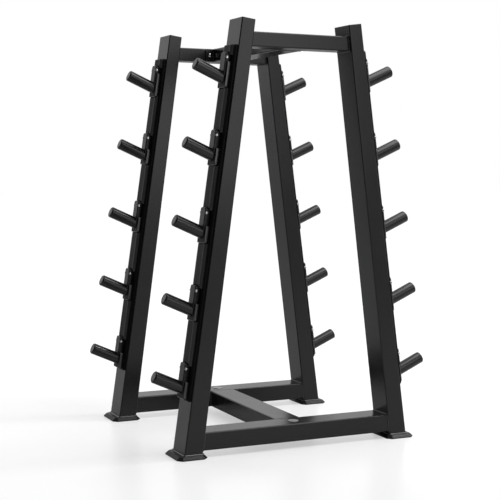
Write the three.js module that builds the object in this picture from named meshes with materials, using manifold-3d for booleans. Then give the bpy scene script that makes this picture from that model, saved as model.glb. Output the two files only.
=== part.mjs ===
// Barbell storage rack: two leaning end frames joined by two spines, with five tilted pegs on each leg.
// Millimetres, +Z up. X runs across an end frame, Y along the stored barbells.
// The origin is on the floor, at the middle of the rack.
import * as THREE from "three";
import { mergeVertices } from "three/addons/utils/BufferGeometryUtils.js";
import Module from "manifold-3d";

const wasm = await Module();
wasm.setup();

// Whole rack
const rackHeight = 1500; // floor to the highest corner of a leg
const floorSpread = 882; // between the outer faces of a pair of legs, at the floor
const frameSpacing = 675; // between the middles of the two end frames
const leanDegrees = 7.92; // outer face of a leg from the vertical
const fitGap = 0.3; // between pieces that meet, rest on each other or are welded
const cutOverrun = 5; // how far a cutting solid passes the face that it opens

// Legs, welded box section that narrows towards the top and has a closed top
const legWidthFloor = 68;
const legWidthTop = 51;
const legDepth = 109;
const legWall = 3;
const legCornerRadius = 4;
const legTopThickness = 4;

// Rubber feet
const footSole = 5; // rubber under the end of the leg
const footRim = 4; // upright edge of the foot
const footShoulder = 13; // height of the flat top round the collar
const footHeight = 17; // to the top of the collar
const footFlareOut = 26; // sole beyond the outer face of the leg
const footFlareIn = 17; // sole beyond the inner face of the leg
const footFlareSide = 17; // sole beyond the front and back of the leg
const footBevel = 10; // how far the sides slope in above the rim
const footCollar = 4; // rubber round the leg at the top of the foot
const footCornerCut = 16;
const footShoulderCornerCut = 10;
const footCollarCornerCut = 4;

// Cross bars of an end frame
const baseBarHeight = 63;
const topBarHeight = 52;
const baseBarDepth = 100;
const topBarDepth = 80;
const barWall = 3;
const barCornerRadius = 5;
const baseBarBottom = 24; // height of its underside
const topBarDrop = 46; // below the highest corner of a leg

// Spines that join the two end frames, each as high as the bars that it meets
const baseSpineWidth = 100;
const topSpineWidth = 90;
const flangeWidth = 154;
const flangeHeight = 50;
const flangeThickness = 6;
const flangeCornerRadius = 9;
const flangeBoltInset = 16; // from the end of the flange to the middle of the bolt

// Guard rails on the outer faces of the legs, thin at the brackets and raised between them
const guardWidth = 98;
const guardStrip = 9.5; // thickness at the brackets
const guardRaised = 18; // thickness between the brackets
const raisedWidth = 74;
const guardTopMargin = 115; // above the highest peg
const guardBottomMargin = 41; // below the lowest peg
const stripEdgeRadius = 6;
const stripCornerRadius = 10;
const raisedEdgeRadius = 14;
const raisedCornerRadius = 18;
const raisedPadGap = 1; // from a raised stretch to the pad above it
const raisedBlockLap = 10; // how far a raised stretch reaches down beside the block below it
const raisedBlockGap = 2; // from a raised stretch to the block that it reaches beside

// Pegs and the brackets that carry them: a block above the peg and a wider pad behind it
const pegsPerLeg = 5;
const topPegHeight = 1305; // along the outer face of the leg, at the root of the peg
const bottomPegHeight = 237;
const pegTiltDegrees = 16; // above square to the outer face of the leg
const pegLength = 110.5;
const pegRadius = 21;
const pegTipChamfer = 3;
const blockWidth = 43;
const blockThickness = 18.5;
const blockAbovePeg = 87;
const blockCornerRadius = 9;
const padWidth = 62;
const padThickness = 12;
const padAbovePeg = 25;
const topPadAbovePeg = 56; // the highest pad of a leg reaches further up
const padBelowPeg = 36;
const padCornerRadius = 5;

// Button heads of the bolts
const boltHeadRadius = 5.5;
const boltHeadHeight = 4;
const pinHeadRadius = 3;
const pinHeadHeight = 2;
const crownShare = 0.65; // flat crown of a head as a share of its radius
const boltBelowBlockTop = 19;
const boltBehindBlockFace = 7.5;
const pinAbovePadBottom = 8;

// How finely round shapes are divided
const cornerSteps = 3;
const edgeSteps = 4;
const pegSides = 18;
const boltSides = 10;

const lean = THREE.MathUtils.degToRad(leanDegrees);
const pegTilt = THREE.MathUtils.degToRad(pegTiltDegrees);
const legLength = rackHeight / Math.cos(lean);
const legTaper = (legWidthFloor - legWidthTop) / legLength;
const pegPitch = (topPegHeight - bottomPegHeight) / (pegsPerLeg - 1);
const topBarBottom = rackHeight - topBarDrop - topBarHeight;
const stripFace = fitGap + guardStrip;
const raisedFace = fitGap + guardRaised;
const bracketBack = stripFace + fitGap;
const padFace = bracketBack + padThickness;
const blockFace = bracketBack + blockThickness;

const paint = { color: 0x1a1a1b, roughness: 0.45, metalness: 0.3 };
const paintedSteel = new THREE.MeshStandardMaterial(paint);
const guardPlastic = new THREE.MeshStandardMaterial({ color: 0x101011, roughness: 0.55, metalness: 0 });
const pegRubber = new THREE.MeshStandardMaterial({ color: 0x151516, roughness: 0.5, metalness: 0 });
const footRubber = new THREE.MeshStandardMaterial({ color: 0x1c1c1d, roughness: 0.6, metalness: 0 });

// A closed mesh becomes a solid that can be joined and cut.
function solidFrom(geometry) {
  const bare = new THREE.BufferGeometry();
  bare.setAttribute("position", geometry.getAttribute("position"));
  bare.setIndex(geometry.index);
  const merged = mergeVertices(bare);
  const vertProperties = merged.getAttribute("position").array;
  const triVerts = new Uint32Array(merged.index.array);
  return new wasm.Manifold(new wasm.Mesh({ numProp: 3, vertProperties, triVerts }));
}

function geometryFrom(solid) {
  const mesh = solid.getMesh();
  const geometry = new THREE.BufferGeometry();
  geometry.setAttribute("position", new THREE.BufferAttribute(mesh.vertProperties, 3));
  geometry.setIndex(new THREE.BufferAttribute(mesh.triVerts, 1));
  const faceted = geometry.toNonIndexed();
  faceted.computeVertexNormals();
  return faceted;
}

// A solid through convex outlines of equally many points, each one counterclockwise from above.
function loft(rings) {
  const count = rings[0].length;
  const last = (rings.length - 1) * count;
  const points = rings.flat();
  const faces = [];
  for (let ring = 0; ring < rings.length - 1; ring++) {
    for (let i = 0; i < count; i++) {
      const low = ring * count + i;
      const lowNext = ring * count + ((i + 1) % count);
      faces.push(low, lowNext, lowNext + count);
      faces.push(low, lowNext + count, low + count);
    }
  }
  for (let i = 1; i < count - 1; i++) {
    faces.push(0, i + 1, i);
    faces.push(last, last + i, last + i + 1);
  }
  const geometry = new THREE.BufferGeometry().setFromPoints(points);
  geometry.setIndex(faces);
  return geometry;
}

// Counterclockwise outline of a rectangle with rounded corners.
function roundedOutline(xMin, xMax, yMin, yMax, radius) {
  const outline = [];
  const corners = [
    [xMax - radius, yMax - radius],
    [xMin + radius, yMax - radius],
    [xMin + radius, yMin + radius],
    [xMax - radius, yMin + radius],
  ];
  corners.forEach(([x, y], quarter) => {
    for (let step = 0; step <= cornerSteps; step++) {
      const turn = (Math.PI / 2) * (quarter + step / cornerSteps);
      outline.push(new THREE.Vector2(x + radius * Math.cos(turn), y + radius * Math.sin(turn)));
    }
  });
  return outline;
}

// Counterclockwise outline of a rectangle with its corners cut off.
function clippedOutline(xMin, xMax, yMin, yMax, cut) {
  return [
    new THREE.Vector2(xMax, yMin + cut),
    new THREE.Vector2(xMax, yMax - cut),
    new THREE.Vector2(xMax - cut, yMax),
    new THREE.Vector2(xMin + cut, yMax),
    new THREE.Vector2(xMin, yMax - cut),
    new THREE.Vector2(xMin, yMin + cut),
    new THREE.Vector2(xMin + cut, yMin),
    new THREE.Vector2(xMax - cut, yMin),
  ];
}

function level(outline, z) {
  return outline.map((p) => new THREE.Vector3(p.x, p.y, z));
}

function extrude(shape, depth) {
  return new THREE.ExtrudeGeometry(shape, { depth, bevelEnabled: false, curveSegments: cornerSteps });
}

// Turns a shape drawn in X and Y and extruded along Z, so that it is drawn in X and Z and centred on Y = 0.
function standAcross(geometry, depth) {
  return geometry.rotateX(Math.PI / 2).translate(0, depth / 2, 0);
}

// Turns a shape drawn in X and Y and extruded along Z, so that it is drawn in Y and Z and extruded along X.
function faceOutward(geometry) {
  const yAxis = new THREE.Vector3(0, 1, 0);
  const zAxis = new THREE.Vector3(0, 0, 1);
  const xAxis = new THREE.Vector3(1, 0, 0);
  return geometry.applyMatrix4(new THREE.Matrix4().makeBasis(yAxis, zAxis, xAxis));
}

// A tube of rounded box section, drawn in X and Y and running along Z from zero.
function boxTube(width, height, length) {
  const outerX = width / 2;
  const outerY = height / 2;
  const innerX = outerX - barWall;
  const innerY = outerY - barWall;
  const innerRadius = barCornerRadius - barWall;
  const shape = new THREE.Shape(roundedOutline(-outerX, outerX, -outerY, outerY, barCornerRadius));
  shape.holes.push(new THREE.Path(roundedOutline(-innerX, innerX, -innerY, innerY, innerRadius)));
  return extrude(shape, length);
}

// The leg's own frame: X square out of its outer face, Y along the barbells, Z up along the outer face.
function legFrame() {
  const frame = new THREE.Group();
  frame.position.x = floorSpread / 2;
  frame.rotation.y = -lean;
  return frame;
}

const legMatrix = legFrame();
legMatrix.updateMatrix();

// Place on the inner face of the leg, in the leg's frame, at a height above the floor.
function innerFaceAt(height, grow) {
  const width = legWidthFloor + grow;
  const along = (height + width * Math.sin(lean)) / (Math.cos(lean) + legTaper * Math.sin(lean));
  return { along, x: legTaper * along - width };
}

// The leg's outline, grown or shrunk, in a level plane at a height above the floor.
function legRingLevel(height, grow) {
  const inner = innerFaceAt(height, grow);
  const halfDepth = legDepth / 2 + grow;
  const outline = roundedOutline(inner.x, grow, -halfDepth, halfDepth, legCornerRadius + grow);
  return outline.map((p) => new THREE.Vector3(p.x, p.y, (height - p.x * Math.sin(lean)) / Math.cos(lean)));
}

// The leg's outline, grown or shrunk, square to the outer face.
function legRingSquare(along, grow) {
  const inner = legTaper * along - legWidthFloor - grow;
  const halfDepth = legDepth / 2 + grow;
  return level(roundedOutline(inner, grow, -halfDepth, halfDepth, legCornerRadius + grow), along);
}

function legGeometry() {
  const bottom = footSole + fitGap;
  const outside = solidFrom(loft([legRingLevel(bottom, 0), legRingSquare(legLength, 0)]));
  const hollowTop = legRingSquare(legLength - legTopThickness, -legWall);
  const hollow = solidFrom(loft([legRingLevel(bottom - cutOverrun, -legWall), hollowTop]));
  return geometryFrom(outside.subtract(hollow));
}

// How far the inner face of a leg is from the middle of the rack, at a height above the floor.
function innerFaceX(height) {
  const inner = innerFaceAt(height, 0);
  return floorSpread / 2 + inner.x * Math.cos(lean) - inner.along * Math.sin(lean);
}

function outerFaceX(height) {
  return floorSpread / 2 - height * Math.tan(lean);
}

// The foot stands level, so it is drawn in the frame of the rack and not of the leg.
function footGeometry() {
  const soleIn = innerFaceX(0) - footFlareIn;
  const soleOut = outerFaceX(0) + footFlareOut;
  const soleSide = legDepth / 2 + footFlareSide;
  const sole = clippedOutline(soleIn, soleOut, -soleSide, soleSide, footCornerCut);
  const shoulderSide = soleSide - footBevel;
  const shoulder = clippedOutline(
    soleIn + footBevel, soleOut - footBevel, -shoulderSide, shoulderSide, footShoulderCornerCut,
  );
  const body = solidFrom(loft([level(sole, 0), level(sole, footRim), level(shoulder, footShoulder)]));
  const collarSide = legDepth / 2 + footCollar;
  const collarAt = (height) => {
    const collarIn = innerFaceX(height) - footCollar;
    const collarOut = outerFaceX(height) + footCollar;
    const outline = clippedOutline(collarIn, collarOut, -collarSide, collarSide, footCollarCornerCut);
    return level(outline, height);
  };
  const collar = solidFrom(loft([collarAt(footRim), collarAt(footHeight)]));
  const socketTop = legRingLevel(footHeight + cutOverrun, fitGap);
  const socket = loft([legRingLevel(footSole, fitGap), socketTop]).applyMatrix4(legMatrix.matrix);
  return geometryFrom(body.add(collar).subtract(solidFrom(socket)));
}

// A cross bar from leg to leg, its ends cut along the inner faces of the legs.
function crossBarGeometry(bottom, height, depth) {
  const top = bottom + height;
  const length = innerFaceX(bottom) * 2;
  const tube = boxTube(height, depth, length);
  tube.rotateY(Math.PI / 2).translate(-length / 2, 0, bottom + height / 2);
  const reach = new THREE.Shape([
    new THREE.Vector2(-innerFaceX(bottom - cutOverrun) + fitGap, bottom - cutOverrun),
    new THREE.Vector2(innerFaceX(bottom - cutOverrun) - fitGap, bottom - cutOverrun),
    new THREE.Vector2(innerFaceX(top + cutOverrun) - fitGap, top + cutOverrun),
    new THREE.Vector2(-innerFaceX(top + cutOverrun) + fitGap, top + cutOverrun),
  ]);
  const reachDepth = depth + cutOverrun;
  const ends = standAcross(extrude(reach, reachDepth), reachDepth);
  return geometryFrom(solidFrom(tube).intersect(solidFrom(ends)));
}

// A spine along the barbells, between the two end frames.
function spineGeometry(width, height, bottom, barDepth, endGap) {
  const length = frameSpacing - barDepth - endGap * 2;
  const tube = boxTube(width, height, length);
  return standAcross(tube, length).translate(0, 0, bottom + height / 2);
}

// A bolt head standing up along Y from a face at Y = 0.
function headGeometry(radius, height) {
  const crown = radius * crownShare;
  return new THREE.CylinderGeometry(crown, radius, height, boltSides).translate(0, height / 2, 0);
}

// A flange bolted to a top bar, with its bolt heads towards positive Y.
function flangeGeometry() {
  const halfWidth = flangeWidth / 2;
  const halfHeight = flangeHeight / 2;
  const outline = roundedOutline(-halfWidth, halfWidth, -halfHeight, halfHeight, flangeCornerRadius);
  let flange = solidFrom(standAcross(extrude(new THREE.Shape(outline), flangeThickness), flangeThickness));
  for (const side of [-1, 1]) {
    const head = headGeometry(boltHeadRadius, boltHeadHeight);
    head.translate(side * (halfWidth - flangeBoltInset), flangeThickness / 2, 0);
    flange = flange.add(solidFrom(head));
  }
  return geometryFrom(flange);
}

function pegHeight(index) {
  return topPegHeight - pegPitch * index;
}

// A raised stretch of the guard between two places along the leg, with round edges and corners.
function raisedSolid(from, to) {
  const half = raisedWidth / 2;
  const edgeStart = raisedFace - raisedEdgeRadius;
  const rings = [level(roundedOutline(-half, half, from, to, raisedCornerRadius), fitGap)];
  for (let step = 0; step <= edgeSteps; step++) {
    const turn = (Math.PI / 2) * (step / edgeSteps);
    const inset = raisedEdgeRadius * (1 - Math.cos(turn));
    const side = half - inset;
    const outline = roundedOutline(-side, side, from + inset, to - inset, raisedCornerRadius - inset);
    rings.push(level(outline, edgeStart + raisedEdgeRadius * Math.sin(turn)));
  }
  return solidFrom(faceOutward(loft(rings)));
}

// A raised stretch runs up to the pad above it and is cut square there. The highest one ends round.
function raisedBelowPad(peg, from, top) {
  if (peg === 0) {
    return raisedSolid(from, top);
  }
  const to = pegHeight(peg - 1) - padBelowPeg - raisedPadGap;
  return raisedSolid(from, to + raisedCornerRadius).trimByPlane([0, 0, -1], -to);
}

// The outline of a block above its peg, in Y and Z, grown on all sides.
function blockOutline(grow) {
  const half = blockWidth / 2 + grow;
  return roundedOutline(-half, half, -grow, blockAbovePeg + grow, blockCornerRadius + grow);
}

function guardGeometry() {
  const top = pegHeight(0) + guardTopMargin;
  const bottom = pegHeight(pegsPerLeg - 1) - guardBottomMargin;
  const half = guardWidth / 2;
  const edge = stripEdgeRadius;
  const section = new THREE.Shape();
  section.moveTo(fitGap, -half);
  section.lineTo(stripFace - edge, -half);
  section.absarc(stripFace - edge, edge - half, edge, -Math.PI / 2, 0);
  section.absarc(stripFace - edge, half - edge, edge, 0, Math.PI / 2);
  section.lineTo(fitGap, half);
  section.closePath();
  const strip = solidFrom(extrude(section, top - bottom).translate(0, 0, bottom));
  const outline = new THREE.Shape(roundedOutline(-half, half, bottom, top, stripCornerRadius));
  let guard = strip.intersect(solidFrom(faceOutward(extrude(outline, stripFace))));
  for (let peg = 0; peg < pegsPerLeg; peg++) {
    const from = pegHeight(peg) + blockAbovePeg - raisedBlockLap;
    const notch = faceOutward(extrude(new THREE.Shape(blockOutline(raisedBlockGap)), guardRaised));
    notch.translate(stripFace, 0, pegHeight(peg));
    guard = guard.add(raisedBelowPad(peg, from, top).subtract(solidFrom(notch)));
  }
  return geometryFrom(guard);
}

// The bracket, drawn with the root of the peg at zero height.
function bracketGeometry(padTop) {
  const block = faceOutward(extrude(new THREE.Shape(blockOutline(0)), blockThickness));
  block.translate(bracketBack, 0, 0);
  const padHalf = padWidth / 2;
  const padOutline = roundedOutline(-padHalf, padHalf, -padBelowPeg, padTop, padCornerRadius);
  const pad = faceOutward(extrude(new THREE.Shape(padOutline), padThickness));
  pad.translate(bracketBack, 0, 0);
  let bracket = solidFrom(block).add(solidFrom(pad));
  for (const side of [-1, 1]) {
    const bolt = headGeometry(boltHeadRadius, boltHeadHeight).translate(0, blockWidth / 2, 0);
    const pin = headGeometry(pinHeadRadius, pinHeadHeight).translate(0, padWidth / 2, 0);
    const turn = side > 0 ? 0 : Math.PI;
    bolt.rotateZ(turn).translate(blockFace - boltBehindBlockFace, 0, blockAbovePeg - boltBelowBlockTop);
    pin.rotateZ(turn).translate(bracketBack + padThickness / 2, 0, pinAbovePadBottom - padBelowPeg);
    bracket = bracket.add(solidFrom(bolt)).add(solidFrom(pin));
  }
  return geometryFrom(bracket);
}

// The rubber covered peg, cut at its root along the block and the pad.
function pegGeometry() {
  const profile = [
    new THREE.Vector2(0, -pegRadius),
    new THREE.Vector2(pegRadius, -pegRadius),
    new THREE.Vector2(pegRadius, pegLength - pegTipChamfer),
    new THREE.Vector2(pegRadius - pegTipChamfer, pegLength),
    new THREE.Vector2(0, pegLength),
  ];
  const peg = new THREE.LatheGeometry(profile, pegSides);
  peg.rotateZ(-Math.PI / 2).rotateY(-pegTilt).translate(padFace, 0, 0);
  const behind = new THREE.BoxGeometry(pegLength, pegLength, pegLength);
  behind.translate(padFace + fitGap - pegLength / 2, 0, 0);
  const aroundBlock = faceOutward(extrude(new THREE.Shape(blockOutline(fitGap)), blockThickness + fitGap));
  aroundBlock.translate(bracketBack, 0, 0);
  return geometryFrom(solidFrom(peg).subtract(solidFrom(behind)).subtract(solidFrom(aroundBlock)));
}

function addMesh(parent, name, geometry, material) {
  const mesh = new THREE.Mesh(geometry, material);
  mesh.name = name;
  parent.add(mesh);
  return mesh;
}

const legShape = legGeometry();
const footShape = footGeometry();
const guardShape = guardGeometry();
const bracketShape = bracketGeometry(padAbovePeg);
const topBracketShape = bracketGeometry(topPadAbovePeg);
const pegShape = pegGeometry();
const baseBarShape = crossBarGeometry(baseBarBottom, baseBarHeight, baseBarDepth);
const topBarShape = crossBarGeometry(topBarBottom, topBarHeight, topBarDepth);
const flangeShape = flangeGeometry();

// One leg with its foot, guard, brackets and pegs, on the positive X side.
function legAssembly(place) {
  const assembly = new THREE.Group();
  addMesh(assembly, `foot_${place}`, footShape, footRubber);
  const leaning = legFrame();
  addMesh(leaning, `leg_${place}`, legShape, paintedSteel);
  addMesh(leaning, `guard_${place}`, guardShape, guardPlastic);
  for (let peg = 0; peg < pegsPerLeg; peg++) {
    const shape = peg > 0 ? bracketShape : topBracketShape;
    const bracket = addMesh(leaning, `bracket_${place}_${peg + 1}`, shape, paintedSteel);
    const rest = addMesh(leaning, `peg_${place}_${peg + 1}`, pegShape, pegRubber);
    bracket.position.z = pegHeight(peg);
    rest.position.z = pegHeight(peg);
  }
  assembly.add(leaning);
  return assembly;
}

// One end frame: two legs with all that they carry, and two cross bars.
function endFrame(end) {
  const frame = new THREE.Group();
  const right = legAssembly(`${end}_right`);
  const left = legAssembly(`${end}_left`);
  left.rotation.z = Math.PI;
  frame.add(right, left);
  addMesh(frame, `base_bar_${end}`, baseBarShape, paintedSteel);
  addMesh(frame, `top_bar_${end}`, topBarShape, paintedSteel);
  return frame;
}

const rack = new THREE.Group();
const spineEnd = frameSpacing / 2 - topBarDepth / 2;

for (const [end, side] of [["front", -1], ["rear", 1]]) {
  const frame = endFrame(end);
  frame.position.y = (side * frameSpacing) / 2;
  rack.add(frame);
  const flange = addMesh(rack, `top_flange_${end}`, flangeShape, paintedSteel);
  flange.position.set(0, side * (spineEnd - fitGap - flangeThickness / 2), topBarBottom + topBarHeight / 2);
  flange.rotation.z = side > 0 ? Math.PI : 0;
}

const topSpineEndGap = fitGap + flangeThickness + fitGap;
const baseSpineShape = spineGeometry(baseSpineWidth, baseBarHeight, baseBarBottom, baseBarDepth, fitGap);
const topSpineShape = spineGeometry(topSpineWidth, topBarHeight, topBarBottom, topBarDepth, topSpineEndGap);
addMesh(rack, "base_spine", baseSpineShape, paintedSteel);
addMesh(rack, "top_spine", topSpineShape, paintedSteel);

export default rack;
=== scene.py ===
import math

import bpy
from mathutils import Matrix, Vector


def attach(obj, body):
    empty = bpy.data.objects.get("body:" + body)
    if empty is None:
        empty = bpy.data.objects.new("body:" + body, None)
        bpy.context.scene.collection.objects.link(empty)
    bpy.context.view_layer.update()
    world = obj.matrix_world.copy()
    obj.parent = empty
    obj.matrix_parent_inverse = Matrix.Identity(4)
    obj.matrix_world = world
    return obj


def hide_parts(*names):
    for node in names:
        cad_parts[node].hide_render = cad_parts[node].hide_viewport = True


# A barbell rack dressed for its picture. Lengths are in millimetres until a mesh is made.
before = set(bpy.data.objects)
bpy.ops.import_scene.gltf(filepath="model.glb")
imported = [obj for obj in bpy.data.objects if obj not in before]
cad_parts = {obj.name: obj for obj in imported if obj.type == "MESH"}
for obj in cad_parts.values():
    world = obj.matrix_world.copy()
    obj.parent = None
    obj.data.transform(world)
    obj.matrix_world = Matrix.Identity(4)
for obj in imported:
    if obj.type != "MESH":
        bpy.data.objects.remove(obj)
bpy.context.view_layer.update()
MM = 0.001
QUARTER = math.pi / 2

# Whole rack
RACK_HEIGHT = 1500.0
FLOOR_SPREAD = 882.0  # between the outer faces of a pair of legs, at the floor
FRAME_SPACING = 675.0
LEAN = math.radians(7.92)
FIT = 0.3  # gap between pieces that meet

# Legs
LEG_WIDTH_FLOOR = 68.0
LEG_WIDTH_TOP = 51.0
LEG_DEPTH = 109.0
LEG_RADIUS = 4.0
LEG_LENGTH = RACK_HEIGHT / math.cos(LEAN)
LEG_TAPER = (LEG_WIDTH_FLOOR - LEG_WIDTH_TOP) / LEG_LENGTH
LEG_TOP_EDGE = 1.8
LEG_TOP_STEPS = 4
LEG_RING_SHARES = (0.08, 0.3, 0.55, 0.8)  # places of the rings between the foot and the top

# Feet
FOOT_SOLE = 5.0  # thickness under the leg
FOOT_RIM = 4.0
FOOT_SHOULDER = 13.0
FOOT_HEIGHT = 17.0
FOOT_FLARE_OUT = 26.0
FOOT_FLARE_IN = 17.0
FOOT_FLARE_SIDE = 17.0
FOOT_BEVEL = 10.0
FOOT_COLLAR = 4.0
SOLE_CORNER = 16.0  # cut corner of the sole
SOLE_CORNER_SHRINK = 0.6  # loss of the cut for each millimetre that the outline goes in
SOLE_SOFT = 1.8
COLLAR_CORNER = 4.0
COLLAR_SOFT = 2.0
LIP_RADIUS = 2.6
LIP_STEPS = 5
GROOVE_DEPTH = 4.0  # dark line between the collar and the leg
GROOVE_WIDTH = 1.3
GROOVE_BEVEL = 0.3
# Soft turns of the foot: rise from the edge of that name, and how far the outline goes in there
UNDERSIDE_TURN = ((0.0, 1.0), (0.5, 0.3), (1.2, 0.0))
RIM_TURN = ((-0.7, 0.0), (-0.2, 0.2), (0.5, 0.8))
SHOULDER_TURN = ((-0.9, -1.0), (-0.2, 0.0), (0.0, 1.2))
COLLAR_TURN = ((0.0, -0.9), (0.8, -0.1))

# Bars, spines and flanges
BASE_BAR_DEPTH = 100.0
TOP_BAR_DEPTH = 80.0
BAR_RADIUS = 5.0
BASE_BAR = (24.0, 87.0)  # underside and top
TOP_BAR = (1402.0, 1454.0)
BAR_RING_SHARES = (-1.0, -0.5, 0.0, 0.5, 1.0)  # from one end of a bar or spine to the other
BASE_SPINE_WIDTH = 100.0
TOP_SPINE_WIDTH = 90.0
FLANGE_WIDTH = 154.0
FLANGE_HEIGHT = 50.0
FLANGE_THICKNESS = 6.0
FLANGE_RADIUS = 9.0
FLANGE_EDGE = 0.9
FLANGE_EDGE_STEPS = 3
FLANGE_BOLT_INSET = 16.0
TOP_SPINE_GAP = FLANGE_THICKNESS + 2 * FIT  # room for a flange at each end

# Caps on the base bars, where the photograph shows a small light disc
CAP_RADIUS = 18.5
CAP_HEIGHT = 2.0
CAP_SEAT = 0.1  # from the bar up to the cap
CAP_SIDES = 48
CAP_TURN = ((1.2, 0.0), (0.4, 0.8), (0.1, 2.5))  # distances below the top and in from the side

# Weld beads
BEAD_STEP = 1.15
BEAD_SIDES = 8
BEAD_OFFSET = 0.6  # from the edge of a bar or spine to the middle of its bead
RIPPLE_PITCH = 4.6
RIPPLE = 0.10
SWELL = 0.05  # slower change of a bead's size
SWELL_RATE = 0.32
BEAD_END = 0.35  # size of a bead's first ring, as a share
BEAD_END_GROWTH = 0.3
BAR_BEAD = 2.3
SPINE_BEAD = 2.0
SPINE_BEAD_BACK = 0.4  # from the side of the bar to the middle of the bead
SPINE_BEAD_ABOVE = 1.5  # from the underside of the bar
SPINE_BEAD_BELOW = 2.5  # from the top of the bar
FLANGE_BEAD = 1.8

# Guard rails, measured out from the outer face of the leg
STRIP_HALF = 49.0
STRIP_FACE = 9.8
STRIP_EDGE = 6.0
STRIP_CORNER = 10.0
RAISED_HALF = 37.0
RAISED_FACE = 18.3
RAISED_SIDE = 15.0  # width of the round side
RAISED_SIDE_STEPS = 8
RAISED_ROOT = 2.0  # depth inside the strip where a raised stretch starts
RAISED_PAD_GAP = 1.0
RAISED_OVERLAP = 10.0  # reach down past the top of the block below
RAISED_TOP_END = 3.5  # how far the end leans back at the top of the guard
RAISED_PAD_END = 1.2  # and below a pad
RAISED_TOP_SOFT = 6.0
RAISED_PAD_SOFT = 1.5
RAISED_FOOT_SOFT = 12.0
NOTCH_GAP = 2.0  # between a block and the notch round it, at the strip
NOTCH_LEAN = 1.9  # part of that gap that closes towards the raised face
NOTCH_LEAST = 0.5  # height that is left of the notch's sides at the raised face
NOTCH_TOP_SOFT = 9.0
NOTCH_TIP_SOFT = 3.0
GUARD_TOP_MARGIN = 115.0
GUARD_BOTTOM_MARGIN = 41.0
SLAB_EDGE_STEPS = 5
SLAB_LEAST_CORNER = 0.6

# Brackets
BRACKET_BACK = 10.1
PAD_FACE = 22.1
BLOCK_FACE = 28.6
BLOCK_HALF = 21.5
BLOCK_TOP = 87.0  # above the root of the peg
BLOCK_RADIUS = 9.0
BLOCK_EDGE = 3.2
PAD_HALF = 31.0
PAD_BELOW = 36.0
PAD_ABOVE = 25.0
TOP_PAD_ABOVE = 56.0
PAD_RADIUS = 5.0
PAD_EDGE = 2.4

# Bolts, washers and pins
BOLT_HEIGHT = 68.0  # above the root of the peg
BOLT_BEHIND_FACE = 6.0  # behind the front of the block
BOLT_RADIUS = 5.4
BOLT_HEAD = 4.4
BOLT_WASHER_RADIUS = 6.2
PIN_BELOW = 28.0  # below the root of the peg
PIN_RADIUS = 3.0
PIN_HEAD = 2.0
FLANGE_BOLT_RADIUS = 7.2
FLANGE_BOLT_HEAD = 4.2
FLANGE_WASHER_RADIUS = 9.0
WASHER_HEIGHT = 0.8
WASHER_BEVEL = 0.3
WASHER_HOLE = 1.0  # kept small, since the head covers it
ROOT_DEPTH = 0.4  # how deep a head or a washer reaches into its seat
ROUND_SIDES = 36
HEAD_SIDE = 0.5  # straight side below the dome
HEAD_STEPS = 7
HEAD_DOME_SHARE = 0.5  # part of the radius that the dome takes up
SOCKET_SHARE = 0.42
SOCKET_RIM_SHARE = 1.08
SOCKET_BEVEL = 0.3
SOCKET_DEPTH_SHARE = 0.55

# Pegs
TOP_PEG_HEIGHT = 1305.0
PEG_SPACING = 267.0
PEGS_ON_LEG = 5
PEG_HEIGHTS = [TOP_PEG_HEIGHT - PEG_SPACING * i for i in range(PEGS_ON_LEG)]
PEG_TILT = math.radians(16.0)
PEG_LENGTH = 110.5
PEG_RADIUS = 21.0
PEG_SIDES = 64
PEG_ROOT = 7.0  # inside the pad
PEG_FIRST_RING = 8.0  # out from the pad
PEG_TIP = 5.0  # radius of the rolled tip
PEG_TIP_STEPS = 6
PEG_RIM = 1.2  # from the rolled tip in to the groove
# Turns of the groove and the end: distances below the end and out from the groove
PEG_END_TURN = ((0.4, 0.8), (1.6, 0.5), (1.6, 0.0), (0.3, -0.3), (0.1, -1.0))
PEG_FLAT_SHARE = 1 / 3  # middle of the end that is flat

ENDS = {"front": -1, "rear": 1}
PLACES = [(end, side) for end in ENDS for side in ("right", "left")]

# Camera, found by fitting the corners of the rack in the photograph. Pixels are those of a 500 pixel frame.
CAMERA_PLACE = Vector((-1.944, -4.120, 1.0115))
CAMERA_YAW = math.radians(-25.07)
CAMERA_PITCH = math.radians(-3.05)
CAMERA_ROLL = math.radians(0.32)
CAMERA_FOCAL_PIXELS = 1203.2
CAMERA_SHIFT = -0.05
CAMERA_REACH = 60.0
FRAME_PIXELS = 500.0
SENSOR = 36.0


def make_camera():
    ahead = Vector((-math.sin(CAMERA_YAW) * math.cos(CAMERA_PITCH),
                    math.cos(CAMERA_YAW) * math.cos(CAMERA_PITCH), math.sin(CAMERA_PITCH)))
    level_right = Vector((math.cos(CAMERA_YAW), math.sin(CAMERA_YAW), 0.0))
    level_up = level_right.cross(ahead)
    right = level_right * math.cos(CAMERA_ROLL) + level_up * math.sin(CAMERA_ROLL)
    up = level_up * math.cos(CAMERA_ROLL) - level_right * math.sin(CAMERA_ROLL)
    data = bpy.data.cameras.new("camera")
    data.sensor_fit = "HORIZONTAL"
    data.sensor_width = SENSOR
    data.lens = CAMERA_FOCAL_PIXELS / FRAME_PIXELS * SENSOR
    data.shift_y = CAMERA_SHIFT
    data.clip_end = CAMERA_REACH
    camera = bpy.data.objects.new("camera", data)
    turn = Matrix((right, up, -ahead)).transposed()
    camera.matrix_world = Matrix.Translation(CAMERA_PLACE) @ turn.to_4x4()
    bpy.context.scene.collection.objects.link(camera)
    bpy.context.scene.camera = camera


make_camera()


# Outlines and forms

CORNER_STEPS = 6
SOFT_STEPS = 5
LONGEST_SOFT = 0.45  # share of a side that one soft corner may take


def arc(x, y, radius, start):
    """A quarter of a circle."""
    turns = [start + QUARTER * step / CORNER_STEPS for step in range(CORNER_STEPS + 1)]
    return [(x + radius * math.cos(turn), y + radius * math.sin(turn)) for turn in turns]


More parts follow.
